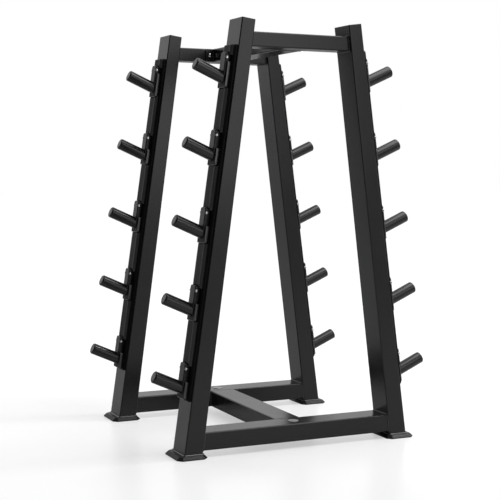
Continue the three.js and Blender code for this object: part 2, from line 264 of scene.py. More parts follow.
def rounded(x0, x1, y0, y1, radius):
    """Counterclockwise outline of a rectangle with round corners."""
    corners = ((x1 - radius, y1 - radius), (x0 + radius, y1 - radius),
               (x0 + radius, y0 + radius), (x1 - radius, y0 + radius))
    points = []
    for quarter, (x, y) in enumerate(corners):
        points += arc(x, y, radius, QUARTER * quarter)
    return points


def softened(corners):
    """A polygon whose corners are replaced by curves. Each corner is (x, y, reach)."""
    points = []
    count = len(corners)
    for i, (x, y, reach) in enumerate(corners):
        here = Vector((x, y))
        before = Vector(corners[i - 1][:2]) - here
        after = Vector(corners[(i + 1) % count][:2]) - here
        start = here + before.normalized() * min(reach, before.length * LONGEST_SOFT)
        end = here + after.normalized() * min(reach, after.length * LONGEST_SOFT)
        for step in range(SOFT_STEPS + 1):
            share = step / SOFT_STEPS
            point = start * (1 - share) ** 2 + here * 2 * share * (1 - share) + end * share ** 2
            points.append((point.x, point.y))
    return points


def quarter_round(steps):
    """Shares of depth gained and of width lost along a round edge."""
    turns = [QUARTER * step / steps for step in range(steps + 1)]
    return [(math.sin(turn), 1 - math.cos(turn)) for turn in turns]


def circle_turns(sides):
    return [2 * math.pi * side / sides for side in range(sides)]


def outward(points, x):
    """An outline drawn in Y and Z, at a distance out from the leg."""
    return [(x, y, z) for y, z in points]


def level(points, z):
    return [(x, y, z) for x, y in points]


class Form:
    """Vertices and faces that build up into one mesh. Each face has the number of its material."""

    def __init__(self):
        self.verts = []
        self.faces = []
        self.kinds = []

    def rings(self, rings, closed=False, kind=0):
        """Joins outlines of equally many points, with a cap at each end or round into a loop."""
        base = len(self.verts)
        count = len(rings[0])
        for ring in rings:
            self.verts.extend(Vector(point) for point in ring)
        spans = len(rings) if closed else len(rings) - 1
        for span in range(spans):
            low = base + span * count
            high = base + (span + 1) % len(rings) * count
            for i in range(count):
                j = (i + 1) % count
                self.faces.append((low + i, low + j, high + j, high + i))
        if not closed:
            last = base + spans * count
            self.faces.append(tuple(base + i for i in reversed(range(count))))
            self.faces.append(tuple(last + i for i in range(count)))
        self.kinds += [kind] * (len(self.faces) - len(self.kinds))
        return self

    def add(self, other, matrix):
        base = len(self.verts)
        self.verts.extend(matrix @ vert for vert in other.verts)
        self.faces.extend(tuple(base + i for i in face) for face in other.faces)
        self.kinds += other.kinds
        return self

    def flipped(self):
        self.faces = [tuple(reversed(face)) for face in self.faces]
        return self


def frame_shift(end):
    return Matrix.Translation((0, ENDS[end] * FRAME_SPACING / 2, 0))


def foot_matrix(end, side):
    """From a right leg's place on the floor to that of any leg."""
    return frame_shift(end) @ Matrix.Rotation(math.pi if side == "left" else 0.0, 4, "Z")


def leg_matrix(end, side):
    """From the leg's own frame: X square out of its outer face, Z up along that face."""
    stand = Matrix.Translation((FLOOR_SPREAD / 2, 0, 0)) @ Matrix.Rotation(-LEAN, 4, "Y")
    return foot_matrix(end, side) @ stand


SHARP_ANGLE = 38.0
BEAD_SHARP_ANGLE = 60.0


def make(name, form, materials, matrix, replaces=(), sharp=SHARP_ANGLE):
    """One object from a form, riding on the rack."""
    mesh = bpy.data.meshes.new(name)
    mesh.from_pydata([(matrix @ vert) * MM for vert in form.verts], [], form.faces)
    for material in materials:
        mesh.materials.append(material)
    mesh.polygons.foreach_set("material_index", form.kinds)
    mesh.polygons.foreach_set("use_smooth", [True] * len(mesh.polygons))
    mesh.set_sharp_from_angle(angle=math.radians(sharp))
    mesh.update()
    piece = bpy.data.objects.new(name, mesh)
    bpy.context.scene.collection.objects.link(piece)
    flatness = piece.modifiers.new("even_flat_faces", "WEIGHTED_NORMAL")
    flatness.keep_sharp = True
    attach(piece, "root")
    if replaces:
        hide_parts(*replaces)


# Materials

NOISE_LOW = 0.3  # nearly all of a noise lies between these two
NOISE_HIGH = 0.7
BLUE_TINT = 1.02
NEW_STOP = 0.5  # place of a stop before it gets its own


def set_stops(ramp, stops, blue=1.0):
    while len(ramp.elements) < len(stops):
        ramp.elements.new(NEW_STOP)
    for element, (place, value) in zip(ramp.elements, stops):
        element.position = place
        element.color = (value, value, value * blue, 1.0)


class Look:
    """A node material built up a few lines at a time."""

    def __init__(self, name, **fixed):
        self.material = bpy.data.materials.new(name)
        self.material.use_nodes = True
        self.tree = self.material.node_tree
        self.tree.nodes.clear()
        self.relief = None
        out = self.tree.nodes.new("ShaderNodeOutputMaterial")
        self.shader = self.tree.nodes.new("ShaderNodeBsdfPrincipled")
        self.tree.links.new(self.shader.outputs["BSDF"], out.inputs["Surface"])
        self.where = self.tree.nodes.new("ShaderNodeTexCoord").outputs["Object"]
        for key, value in fixed.items():
            self.shader.inputs[key].default_value = value

    def noise(self, scale, detail=3.0):
        node = self.tree.nodes.new("ShaderNodeTexNoise")
        node.inputs["Scale"].default_value = scale
        node.inputs["Detail"].default_value = detail
        self.tree.links.new(self.where, node.inputs["Vector"])
        return node.outputs["Fac"]

    def cells(self, scale):
        node = self.tree.nodes.new("ShaderNodeTexVoronoi")
        node.inputs["Scale"].default_value = scale
        self.tree.links.new(self.where, node.inputs["Vector"])
        return node.outputs["Distance"]

    def ramp(self, source, stops, blue=1.0):
        """Grey that follows (place, value) stops, with its blue raised or lowered a little."""
        node = self.tree.nodes.new("ShaderNodeValToRGB")
        set_stops(node.color_ramp, stops, blue)
        self.tree.links.new(source, node.inputs["Fac"])
        return node.outputs["Color"]

    def colour(self, source, low, high):
        """Grey that drifts between two values."""
        grey = self.ramp(source, [(NOISE_LOW, low), (NOISE_HIGH, high)], BLUE_TINT)
        self.tree.links.new(grey, self.shader.inputs["Base Color"])

    def span(self, source, low, high):
        node = self.tree.nodes.new("ShaderNodeMapRange")
        node.inputs["From Min"].default_value = NOISE_LOW
        node.inputs["From Max"].default_value = NOISE_HIGH
        node.inputs["To Min"].default_value = low
        node.inputs["To Max"].default_value = high
        self.tree.links.new(source, node.inputs["Value"])
        return node.outputs["Result"]

    def roughness(self, cloud, low, high, grain, extra):
        """Roughness that drifts slowly with one source and has a fine grain from another."""
        node = self.tree.nodes.new("ShaderNodeMath")
        node.operation = "ADD"
        self.tree.links.new(self.span(cloud, low, high), node.inputs[0])
        self.tree.links.new(self.span(grain, 0.0, extra), node.inputs[1])
        self.tree.links.new(node.outputs["Value"], self.shader.inputs["Roughness"])

    def bump(self, source, strength, depth):
        """Adds relief to that of any bump before it. The depth is in metres."""
        node = self.tree.nodes.new("ShaderNodeBump")
        node.inputs["Strength"].default_value = strength
        node.inputs["Distance"].default_value = depth
        self.tree.links.new(source, node.inputs["Height"])
        if self.relief:
            self.tree.links.new(self.relief, node.inputs["Normal"])
        self.relief = node.outputs["Normal"]
        self.tree.links.new(self.relief, self.shader.inputs["Normal"])


def paint_material():
    """Satin powder coat with a fine orange peel."""
    look = Look("satin_black_powder_coat", IOR=1.5)
    cloud = look.noise(scale=6.0, detail=4.0)
    look.colour(cloud, low=0.0065, high=0.0090)
    look.roughness(cloud, low=0.20, high=0.25, grain=look.noise(scale=420.0), extra=0.04)
    look.bump(look.noise(scale=620.0), strength=0.12, depth=0.0002)
    look.bump(look.noise(scale=130.0), strength=0.05, depth=0.0005)
    return look.material


def weld_highlight_material():
    # Powder coat over the beads, painted lighter than the frame's as a painted highlight along them.
    look = Look("painted_weld_highlight", IOR=1.9)
    look.colour(look.noise(scale=60.0), low=0.010, high=0.015)
    look.roughness(look.noise(scale=25.0), low=0.16, high=0.22, grain=look.noise(scale=240.0), extra=0.05)
    look.bump(look.noise(scale=900.0), strength=0.25, depth=0.0003)
    return look.material


def strip_material():
    """Matt rubber backing of the guard."""
    look = Look("matt_black_strip", IOR=1.22)
    look.colour(look.noise(scale=12.0, detail=4.0), low=0.0020, high=0.0034)
    look.roughness(look.noise(scale=9.0), low=0.56, high=0.64, grain=look.noise(scale=330.0), extra=0.06)
    look.bump(look.cells(scale=700.0), strength=0.10, depth=0.0002)
    look.bump(look.noise(scale=90.0), strength=0.10, depth=0.0006)
    return look.material


def guard_material():
    """Moulded urethane of the raised stretches, with a leather-like grain."""
    look = Look("moulded_black_urethane", IOR=1.34)
    cloud = look.noise(scale=9.0, detail=4.0)
    look.colour(cloud, low=0.012, high=0.018)
    look.roughness(cloud, low=0.52, high=0.58, grain=look.noise(scale=330.0), extra=0.06)
    look.bump(look.cells(scale=620.0), strength=0.12, depth=0.0002)
    look.bump(look.noise(scale=90.0), strength=0.10, depth=0.0006)
    return look.material


def shoulder_sheen_material():
    """The smooth round sides of the raised stretches, painted lighter than the flat face as a painted sheen
    where they catch the light.
    """
    look = Look("black_urethane_painted_sheen", IOR=1.55)
    cloud = look.noise(scale=9.0, detail=4.0)
    look.colour(cloud, low=0.042, high=0.056)
    look.roughness(cloud, low=0.38, high=0.44, grain=look.noise(scale=330.0), extra=0.06)
    look.bump(look.noise(scale=90.0), strength=0.08, depth=0.0005)
    return look.material


def pad_material():
    look = Look("gloss_black_pad", IOR=1.95)
    cloud = look.noise(scale=25.0, detail=4.0)
    look.colour(cloud, low=0.010, high=0.016)
    look.roughness(cloud, low=0.26, high=0.32, grain=look.noise(scale=500.0), extra=0.04)
    look.bump(look.noise(scale=800.0), strength=0.12, depth=0.0002)
    return look.material


def bracket_material():
    look = Look("satin_black_bracket", IOR=1.45)
    cloud = look.noise(scale=25.0, detail=4.0)
    look.colour(cloud, low=0.0085, high=0.0130)
    look.roughness(cloud, low=0.30, high=0.38, grain=look.noise(scale=500.0), extra=0.05)
    look.bump(look.noise(scale=800.0), strength=0.16, depth=0.0002)
    return look.material


def peg_material():
    look = Look("smooth_black_rubber", IOR=1.54)
    cloud = look.noise(scale=30.0, detail=4.0)
    look.colour(cloud, low=0.0050, high=0.0080)
    look.roughness(cloud, low=0.17, high=0.21, grain=look.noise(scale=450.0), extra=0.04)
    look.bump(look.noise(scale=700.0), strength=0.12, depth=0.0002)
    look.bump(look.noise(scale=110.0), strength=0.05, depth=0.0005)
    return look.material


def foot_material():
    look = Look("foot_rubber", IOR=1.34)
    look.colour(look.noise(scale=40.0, detail=4.0), low=0.009, high=0.014)
    look.roughness(look.noise(scale=18.0), low=0.34, high=0.40, grain=look.noise(scale=300.0), extra=0.05)
    look.bump(look.noise(scale=600.0), strength=0.08, depth=0.0002)
    return look.material


def lip_highlight_material():
    """The lip of a foot: the foot's rubber painted lighter and glossier, a painted highlight along the lip.
    """
    look = Look("foot_lip_painted_highlight", IOR=1.9)
    look.colour(look.noise(scale=40.0, detail=4.0), low=0.030, high=0.042)
    look.roughness(look.noise(scale=18.0), low=0.16, high=0.22, grain=look.noise(scale=300.0), extra=0.05)
    look.bump(look.noise(scale=600.0), strength=0.08, depth=0.0002)
    return look.material


def zinc_material():
    """Bright zinc of the bolt heads."""
    look = Look("bright_zinc", Metallic=1.0)
    look.colour(look.noise(scale=160.0, detail=4.0), low=0.58, high=0.78)
    look.roughness(look.noise(scale=90.0), low=0.15, high=0.21, grain=look.noise(scale=380.0), extra=0.05)
    look.bump(look.noise(scale=1100.0), strength=0.12, depth=0.00015)
    return look.material


def pin_material():
    look = Look("dull_zinc", Metallic=1.0)
    look.colour(look.noise(scale=200.0, detail=4.0), low=0.16, high=0.26)
    look.roughness(look.noise(scale=90.0), low=0.30, high=0.40, grain=look.noise(scale=380.0), extra=0.06)
    look.bump(look.noise(scale=1100.0), strength=0.12, depth=0.00015)
    return look.material


def cap_material():
    look = Look("matt_zinc_cap", Metallic=1.0)
    look.colour(look.noise(scale=60.0, detail=4.0), low=0.40, high=0.48)
    look.roughness(look.noise(scale=90.0), low=0.46, high=0.54, grain=look.noise(scale=380.0), extra=0.05)
    look.bump(look.noise(scale=1100.0), strength=0.12, depth=0.00015)
    return look.material


# Painted light on the floor: a glow, dimmest round this point in front of the rack (a painted shade) and
# brighter with distance.
FLOOR_GLOW_FROM = (0.6, -3.2, 0.0)  # metres
FLOOR_GLOW_REACH = 10.0
FLOOR_GLOW_STOPS = [(0.12, 0.36), (0.27, 0.47), (0.60, 0.62)]


def floor_material():
    """A glow seen only by the camera, painted light that lifts the floor to white and fills in its shadows;
    it is dimmer in a pool round a point in front of the rack, a painted shade, and brighter farther off.
    """
    look = Look("pale_floor_painted_glow", IOR=1.2)
    look.colour(look.noise(scale=1.2, detail=2.0), low=0.595, high=0.605)
    cloud = look.noise(scale=3.0, detail=2.0)
    look.roughness(cloud, low=0.25, high=0.26, grain=look.noise(scale=40.0), extra=0.005)
    distance = look.tree.nodes.new("ShaderNodeVectorMath")
    distance.operation = "DISTANCE"
    distance.inputs[1].default_value = FLOOR_GLOW_FROM
    look.tree.links.new(look.where, distance.inputs[0])
    reach = look.tree.nodes.new("ShaderNodeMapRange")
    reach.inputs["From Max"].default_value = FLOOR_GLOW_REACH
    look.tree.links.new(distance.outputs["Value"], reach.inputs["Value"])
    glow = look.ramp(reach.outputs["Result"], FLOOR_GLOW_STOPS)
    look.tree.links.new(glow, look.shader.inputs["Emission Color"])
    path = look.tree.nodes.new("ShaderNodeLightPath")
    look.tree.links.new(path.outputs["Is Camera Ray"], look.shader.inputs["Emission Strength"])
    return look.material


PAINT = paint_material()
WELD_HIGHLIGHT = weld_highlight_material()
STRIP = strip_material()
GUARD = guard_material()
SHOULDER_SHEEN = shoulder_sheen_material()
PAD = pad_material()
BRACKET = bracket_material()
RUBBER = peg_material()
FOOT = foot_material()
LIP_HIGHLIGHT = lip_highlight_material()
ZINC = zinc_material()
DULL_ZINC = pin_material()
MATT_ZINC = cap_material()

# Numbers of the materials on one piece, where it has more than one
LIP_KIND = 1
FACE_KIND = 1  # flat front of a raised stretch or a pad
SIDE_KIND = 2


# Legs and feet

def inner_face_at(height):
    """Place of the inner face at a height above the floor, in the leg's frame."""
    drop = LEG_WIDTH_FLOOR * math.sin(LEAN)
    along = (height + drop) / (math.cos(LEAN) + LEG_TAPER * math.sin(LEAN))
    return along, LEG_TAPER * along - LEG_WIDTH_FLOOR


def inner_face_x(height):
    along, x = inner_face_at(height)
    return FLOOR_SPREAD / 2 + x * math.cos(LEAN) - along * math.sin(LEAN)


def outer_face_x(height):
    return FLOOR_SPREAD / 2 - height * math.tan(LEAN)


def leg_ring_level(height):
    _, inner = inner_face_at(height)
    outline = rounded(inner, 0.0, -LEG_DEPTH / 2, LEG_DEPTH / 2, LEG_RADIUS)
    return [(x, y, (height - x * math.sin(LEAN)) / math.cos(LEAN)) for x, y in outline]


def leg_ring_square(along, inset=0.0):
    inner = LEG_TAPER * along - LEG_WIDTH_FLOOR + inset
    half = LEG_DEPTH / 2 - inset
    return level(rounded(inner, -inset, -half, half, LEG_RADIUS - inset), along)


def leg_form():
    rings = [leg_ring_level(FOOT_SOLE + FIT)]
    rings += [leg_ring_square(LEG_LENGTH * share) for share in LEG_RING_SHARES]
    for depth, width in quarter_round(LEG_TOP_STEPS):
        rings.append(leg_ring_square(LEG_LENGTH - LEG_TOP_EDGE * (1 - depth), LEG_TOP_EDGE * width))
    return Form().rings(rings)


def foot_outline(x0, x1, half, cut, soft):
    corners = [(x1, cut - half), (x1, half - cut), (x1 - cut, half), (x0 + cut, half),
               (x0, half - cut), (x0, cut - half), (x0 + cut, -half), (x1 - cut, -half)]
    return softened([(x, y, soft) for x, y in corners])


def sole_ring(z, inset):
    x0 = inner_face_x(0) - FOOT_FLARE_IN + inset
    x1 = outer_face_x(0) + FOOT_FLARE_OUT - inset
    half = LEG_DEPTH / 2 + FOOT_FLARE_SIDE - inset
    cut = SOLE_CORNER - inset * SOLE_CORNER_SHRINK
    return level(foot_outline(x0, x1, half, cut, SOLE_SOFT), z)


def collar_ring(z, out):
    """An outline round the leg, at a distance out from it."""
    half = LEG_DEPTH / 2 + out
    x0 = inner_face_x(z) - out
    x1 = outer_face_x(z) + out
    return level(foot_outline(x0, x1, half, COLLAR_CORNER, COLLAR_SOFT), z)


def foot_form():
    """Sole, sloping shoulder and collar, with a round lip and a groove down beside the leg."""
    rings = [sole_ring(rise, inset) for rise, inset in UNDERSIDE_TURN]
    rings += [sole_ring(FOOT_RIM + rise, inset) for rise, inset in RIM_TURN]
    rings += [sole_ring(FOOT_SHOULDER + rise, FOOT_BEVEL + inset) for rise, inset in SHOULDER_TURN]
    rings += [collar_ring(FOOT_SHOULDER + rise, FOOT_COLLAR - inset) for rise, inset in COLLAR_TURN]
    below_lip = len(rings) * len(rings[0])
    for depth, width in quarter_round(LIP_STEPS):
        rings.append(collar_ring(FOOT_HEIGHT - LIP_RADIUS * (1 - depth), FOOT_COLLAR - LIP_RADIUS * width))
    rings.append(collar_ring(FOOT_HEIGHT - GROOVE_BEVEL, FIT + GROOVE_WIDTH))
    rings.append(collar_ring(FOOT_HEIGHT - GROOVE_DEPTH, FIT))
    form = Form().rings(rings)
    form.kinds[below_lip:] = [LIP_KIND] * (len(form.kinds) - below_lip)
    return form


LEG_FORM = leg_form()
FOOT_FORM = foot_form()
for end, side in PLACES:
    place = f"{end}_{side}"
    make(f"steel_leg_{place}", LEG_FORM, [PAINT], leg_matrix(end, side), [f"leg_{place}"])
    # The lip faces take the lighter rubber, a painted highlight.
    make(f"rubber_foot_{place}", FOOT_FORM, [FOOT, LIP_HIGHLIGHT], foot_matrix(end, side),
         [f"foot_{place}"])


# Bars, spines and flanges

def bar_form(bottom, top, depth):
    section = rounded(-depth / 2, depth / 2, bottom, top, BAR_RADIUS)
    rings = []
    for share in BAR_RING_SHARES:
        rings.append([(share * (inner_face_x(z) - FIT), y, z) for y, z in section])
    return Form().rings(rings)


def spine_form(width, bottom, top, bar_depth, end_gap):
    reach = FRAME_SPACING / 2 - bar_depth / 2 - end_gap
    section = rounded(-width / 2, width / 2, bottom, top, BAR_RADIUS)
    rings = []
    for share in BAR_RING_SHARES:
        rings.append([(x, -share * reach, z) for x, z in section])
    return Form().rings(rings)


def flange_form():
    edge = [(FLANGE_EDGE * (1 - depth), FLANGE_EDGE * width)
            for depth, width in reversed(quarter_round(FLANGE_EDGE_STEPS))]
    edge += [(FLANGE_THICKNESS - y, inset) for y, inset in reversed(edge)]
    rings = []
    for y, inset in edge:
        half_width = FLANGE_WIDTH / 2 - inset
        half_height = FLANGE_HEIGHT / 2 - inset
        outline = rounded(-half_width, half_width, -half_height, half_height, FLANGE_RADIUS - inset)
        rings.append([(x, y - FLANGE_THICKNESS / 2, z) for x, z in outline])
    return Form().rings(rings).flipped()


BAR_FORMS = {"base_bar": bar_form(*BASE_BAR, BASE_BAR_DEPTH), "top_bar": bar_form(*TOP_BAR, TOP_BAR_DEPTH)}
TOP_BAR_MIDDLE = sum(TOP_BAR) / 2
BASE_BAR_SIDE = FRAME_SPACING / 2 - BASE_BAR_DEPTH / 2
TOP_BAR_SIDE = FRAME_SPACING / 2 - TOP_BAR_DEPTH / 2
FLANGE_FORM = flange_form()
for end, sign in ENDS.items():
    for kind, form in BAR_FORMS.items():
        make(f"steel_{kind}_{end}", form, [PAINT], frame_shift(end), [f"{kind}_{end}"])
    middle = sign * (TOP_BAR_SIDE - FIT - FLANGE_THICKNESS / 2)
    make(f"steel_flange_{end}", FLANGE_FORM, [PAINT],
         Matrix.Translation((0, middle, TOP_BAR_MIDDLE)), [f"top_flange_{end}"])

BASE_SPINE_FORM = spine_form(BASE_SPINE_WIDTH, *BASE_BAR, BASE_BAR_DEPTH, FIT)
TOP_SPINE_FORM = spine_form(TOP_SPINE_WIDTH, *TOP_BAR, TOP_BAR_DEPTH, TOP_SPINE_GAP)
make("steel_base_spine", BASE_SPINE_FORM, [PAINT], Matrix(), ["base_spine"])
make("steel_top_spine", TOP_SPINE_FORM, [PAINT], Matrix(), ["top_spine"])


# Weld beads

def bead_radius(radius, distance):
    """A bead swells and drops back once for each ripple."""
    phase = distance / RIPPLE_PITCH % 1.0
    return radius * (1.0 + RIPPLE * (2 * phase - 1) + SWELL * math.sin(distance * SWELL_RATE))


def bead_ring(place, radius, across, other):
    turns = circle_turns(BEAD_SIDES)
    return [place + (across * math.cos(turn) + other * math.sin(turn)) * radius for turn in turns]


def resampled(path):
    """A closed path cut into nearly equal steps, each with its distance along the path."""
    points = [Vector(point) for point in path]
    result = []
    run = 0.0
    for here, after in zip(points, points[1:] + points[:1]):
        length = (after - here).length
        cuts = max(1, round(length / BEAD_STEP))
        for cut in range(cuts):
            result.append((here.lerp(after, cut / cuts), run + length * cut / cuts))
        run += length
    return result


def closed_bead(path, radius, normal):
    steps = resampled(path)
    rings = []
    for number, (place, distance) in enumerate(steps):
        along = steps[(number + 1) % len(steps)][0] - steps[number - 1][0]
        across = along.cross(normal).normalized()
        rings.append(bead_ring(place, bead_radius(radius, distance), across, normal))
    return Form().rings(rings, closed=True)


def upright_bead(x, y, bottom, top, radius):
    count = round((top - bottom) / BEAD_STEP)
    rings = []
    for step in range(count + 1):
        end_taper = min(1.0, BEAD_END + BEAD_END_GROWTH * min(step, count - step))
        size = bead_radius(radius, step * BEAD_STEP) * end_taper
        place = Vector((x, y, bottom + (top - bottom) * step / count))
        rings.append(bead_ring(place, size, Vector((1, 0, 0)), Vector((0, 1, 0))))
    return Form().rings(rings)


def bar_end_path(bottom, top, depth, side):
    half = depth / 2 + BEAD_OFFSET
    section = rounded(-half, half, bottom - BEAD_OFFSET, top + BEAD_OFFSET, BAR_RADIUS + BEAD_OFFSET)
    return [(side * (inner_face_x(z) - FIT), y, z) for y, z in section]


def weld_form(sign):
    """All the beads of one end frame: bars to legs, base spine to bar, top spine to its flange."""
    form = Form()
    shift = Matrix.Translation((0, sign * FRAME_SPACING / 2, 0))
    for bottom, top, depth in ((*BASE_BAR, BASE_BAR_DEPTH), (*TOP_BAR, TOP_BAR_DEPTH)):
        for side in (-1, 1):
            normal = Vector((side * math.cos(LEAN), 0, math.sin(LEAN)))
            form.add(closed_bead(bar_end_path(bottom, top, depth, side), BAR_BEAD, normal), shift)
    low = BASE_BAR[0] + SPINE_BEAD_ABOVE
    high = BASE_BAR[1] - SPINE_BEAD_BELOW
    for side in (-1, 1):
        x = side * (BASE_SPINE_WIDTH / 2 + BEAD_OFFSET)
        y = sign * (BASE_BAR_SIDE - SPINE_BEAD_BACK)
        form.add(upright_bead(x, y, low, high, SPINE_BEAD), Matrix())
    half = TOP_SPINE_WIDTH / 2 - BEAD_OFFSET
    section = rounded(-half, half, TOP_BAR[0] + BEAD_OFFSET, TOP_BAR[1] - BEAD_OFFSET, BAR_RADIUS)
    seam = sign * (TOP_BAR_SIDE - TOP_SPINE_GAP - FIT)
    form.add(closed_bead([(x, seam, z) for x, z in section], FLANGE_BEAD, Vector((0, 1, 0))), Matrix())
    return form


for end, sign in ENDS.items():
    make(f"weld_beads_{end}", weld_form(sign), [WELD_HIGHLIGHT], Matrix(), sharp=BEAD_SHARP_ANGLE)


# Guard rails

def slab(half, low, high, corner, back, face, edge, kind=0):
    """A block with round corners and a round outer edge, standing out from the leg."""
    rings = [outward(rounded(-half, half, low, high, corner), back)]
    for depth, width in quarter_round(SLAB_EDGE_STEPS):
        inset = edge * width
        radius = max(corner - inset, SLAB_LEAST_CORNER)
        outline = rounded(inset - half, half - inset, low + inset, high - inset, radius)
        rings.append(outward(outline, face - edge + edge * depth))
    return Form().rings(rings, kind=kind)


def raised_form(low, high, notch_top, at_top):
    """A raised stretch of the guard. It has round sides, and a notch round the block below."""
    root = STRIP_FACE - RAISED_ROOT
    end_lean = RAISED_TOP_END if at_top else RAISED_PAD_END
    end_soft = RAISED_TOP_SOFT if at_top else RAISED_PAD_SOFT
    rings = []
    for depth, width in quarter_round(RAISED_SIDE_STEPS):
        half = RAISED_HALF - RAISED_SIDE * width
        notch = BLOCK_HALF + NOTCH_GAP - NOTCH_LEAN * width
        top = high - end_lean * width
        bottom = low + (notch_top - NOTCH_LEAST - low) * width
        corners = [(half, top, end_soft), (-half, top, end_soft)]
        corners += [(-half, bottom, RAISED_FOOT_SOFT), (-notch, bottom, NOTCH_TIP_SOFT)]
        corners += [(-notch, notch_top, NOTCH_TOP_SOFT), (notch, notch_top, NOTCH_TOP_SOFT)]
        corners += [(notch, bottom, NOTCH_TIP_SOFT), (half, bottom, RAISED_FOOT_SOFT)]
        rings.append(outward(softened(corners), root + (RAISED_FACE - root) * depth))
    form = Form().rings(rings, kind=SIDE_KIND)
    form.kinds[-1] = FACE_KIND
    return form


def guard_form():
    """The strip with its raised stretches, one above each bracket."""
    top = PEG_HEIGHTS[0] + GUARD_TOP_MARGIN
    bottom = PEG_HEIGHTS[-1] - GUARD_BOTTOM_MARGIN
    form = slab(STRIP_HALF, bottom, top, STRIP_CORNER, FIT, STRIP_FACE, STRIP_EDGE)
    for peg, height in enumerate(PEG_HEIGHTS):
        block_top = height + BLOCK_TOP
        high = top
        if peg > 0:
            high = PEG_HEIGHTS[peg - 1] - PAD_BELOW - RAISED_PAD_GAP
        form.add(raised_form(block_top - RAISED_OVERLAP, high, block_top + NOTCH_GAP, peg == 0), Matrix())
    return form


GUARD_FORM = guard_form()
for end, side in PLACES:
    place = f"{end}_{side}"
    # The round sides take the lighter urethane, a painted sheen.
    make(f"guard_rail_{place}", GUARD_FORM, [STRIP, GUARD, SHOULDER_SHEEN],
         leg_matrix(end, side), [f"guard_{place}"])


# Brackets, bolts and caps

def bracket_form(pad_above):
    """A narrow block above the peg, on a wider pad."""
    form = slab(BLOCK_HALF, 0.0, BLOCK_TOP, BLOCK_RADIUS, BRACKET_BACK, BLOCK_FACE, BLOCK_EDGE)
    pad = slab(PAD_HALF, -PAD_BELOW, pad_above, PAD_RADIUS, BRACKET_BACK, PAD_FACE, PAD_EDGE, SIDE_KIND)
    pad.kinds[-1] = FACE_KIND
    return form.add(pad, Matrix())


def round_rings(profile, sides):
    """Rings turned round X from (x, radius) pairs."""
    turns = circle_turns(sides)
    rings = []
    for x, radius in profile:
        rings.append([(x, radius * math.cos(turn), radius * math.sin(turn)) for turn in turns])
    return rings


def turned(profile, sides):
    return Form().rings(round_rings(profile, sides))


def hexagon_ring(x, size):
    """A hexagon drawn with as many points as the round rings that it joins."""
    sixth = math.pi / 3
    ring = []
    for turn in circle_turns(ROUND_SIDES):
        radius = size / math.cos(turn % sixth - sixth / 2)
        ring.append((x, radius * math.cos(turn), radius * math.sin(turn)))
    return ring


def button_head(radius, height):
    """A domed bolt head with a hexagon socket, standing out along X."""
    profile = [(-ROOT_DEPTH, radius)]
    for depth, width in quarter_round(HEAD_STEPS)[:-1]:
        x = HEAD_SIDE + (height - HEAD_SIDE) * depth
        profile.append((x, radius * (1 - HEAD_DOME_SHARE * width)))
    rings = round_rings(profile, ROUND_SIDES)
    rim, _ = profile[-1]
    socket = radius * SOCKET_SHARE
    rings.append(hexagon_ring(rim, socket * SOCKET_RIM_SHARE))
    rings.append(hexagon_ring(rim - SOCKET_BEVEL, socket))
    rings.append(hexagon_ring(rim - height * SOCKET_DEPTH_SHARE, socket))
    return Form().rings(rings)


def washer(radius):
    profile = [(-ROOT_DEPTH, radius), (WASHER_HEIGHT - WASHER_BEVEL, radius)]
    profile += [(WASHER_HEIGHT, radius - WASHER_BEVEL), (WASHER_HEIGHT, WASHER_HOLE)]
    return turned(profile, ROUND_SIDES)


def cap_form():
    profile = [(CAP_SEAT, CAP_RADIUS)]
    profile += [(CAP_HEIGHT - below, CAP_RADIUS - inset) for below, inset in CAP_TURN]
    profile.append((CAP_HEIGHT, CAP_RADIUS / 2))
    return turned(profile, CAP_SIDES)


def side_matrix(x, z, half, sign):
    """From along X to along Y, at a place on the side of a bracket."""
    return Matrix.Translation((x, sign * half, z)) @ Matrix.Rotation(sign * QUARTER, 4, "Z")


BOLT = button_head(BOLT_RADIUS, BOLT_HEAD)
BOLT_WASHER = washer(BOLT_WASHER_RADIUS)
PIN = button_head(PIN_RADIUS, PIN_HEAD)
FLANGE_BOLT = button_head(FLANGE_BOLT_RADIUS, FLANGE_BOLT_HEAD)
FLANGE_WASHER = washer(FLANGE_WASHER_RADIUS)
LIFT = Matrix.Translation((WASHER_HEIGHT, 0, 0))
BRACKET_FORM = bracket_form(PAD_ABOVE)
TOP_BRACKET_FORM = bracket_form(TOP_PAD_ABOVE)

for end, side in PLACES:
    place = f"{end}_{side}"
    stand = leg_matrix(end, side)
    bolts, washers, pins = Form(), Form(), Form()
    for peg, height in enumerate(PEG_HEIGHTS):
        form = BRACKET_FORM if peg else TOP_BRACKET_FORM
        name = f"{place}_{peg + 1}"
        make(f"bracket_body_{name}", form, [BRACKET, GUARD, PAD],
             stand @ Matrix.Translation((0, 0, height)), [f"bracket_{name}"])
        for sign in (-1, 1):
            seat = side_matrix(BLOCK_FACE - BOLT_BEHIND_FACE, height + BOLT_HEIGHT, BLOCK_HALF, sign)
            bolts.add(BOLT, seat @ LIFT)
            washers.add(BOLT_WASHER, seat)
            pins.add(PIN, side_matrix((BRACKET_BACK + PAD_FACE) / 2, height - PIN_BELOW, PAD_HALF, sign))
    make(f"cross_bolts_{place}", bolts, [ZINC], stand)
    make(f"bolt_washers_{place}", washers, [PAINT], stand)
    make(f"pad_pins_{place}", pins, [DULL_ZINC], stand)

for end, sign in ENDS.items():
    heads, washers = Form(), Form()
    for x in (FLANGE_BOLT_INSET - FLANGE_WIDTH / 2, FLANGE_WIDTH / 2 - FLANGE_BOLT_INSET):
        face = sign * (TOP_BAR_SIDE - FIT - FLANGE_THICKNESS)
        seat = Matrix.Translation((x, face, TOP_BAR_MIDDLE)) @ Matrix.Rotation(-sign * QUARTER, 4, "Z")
        heads.add(FLANGE_BOLT, seat @ LIFT)
        washers.add(FLANGE_WASHER, seat)
    make(f"flange_bolts_{end}", heads, [ZINC], Matrix())
    make(f"flange_washers_{end}", washers, [PAINT], Matrix())

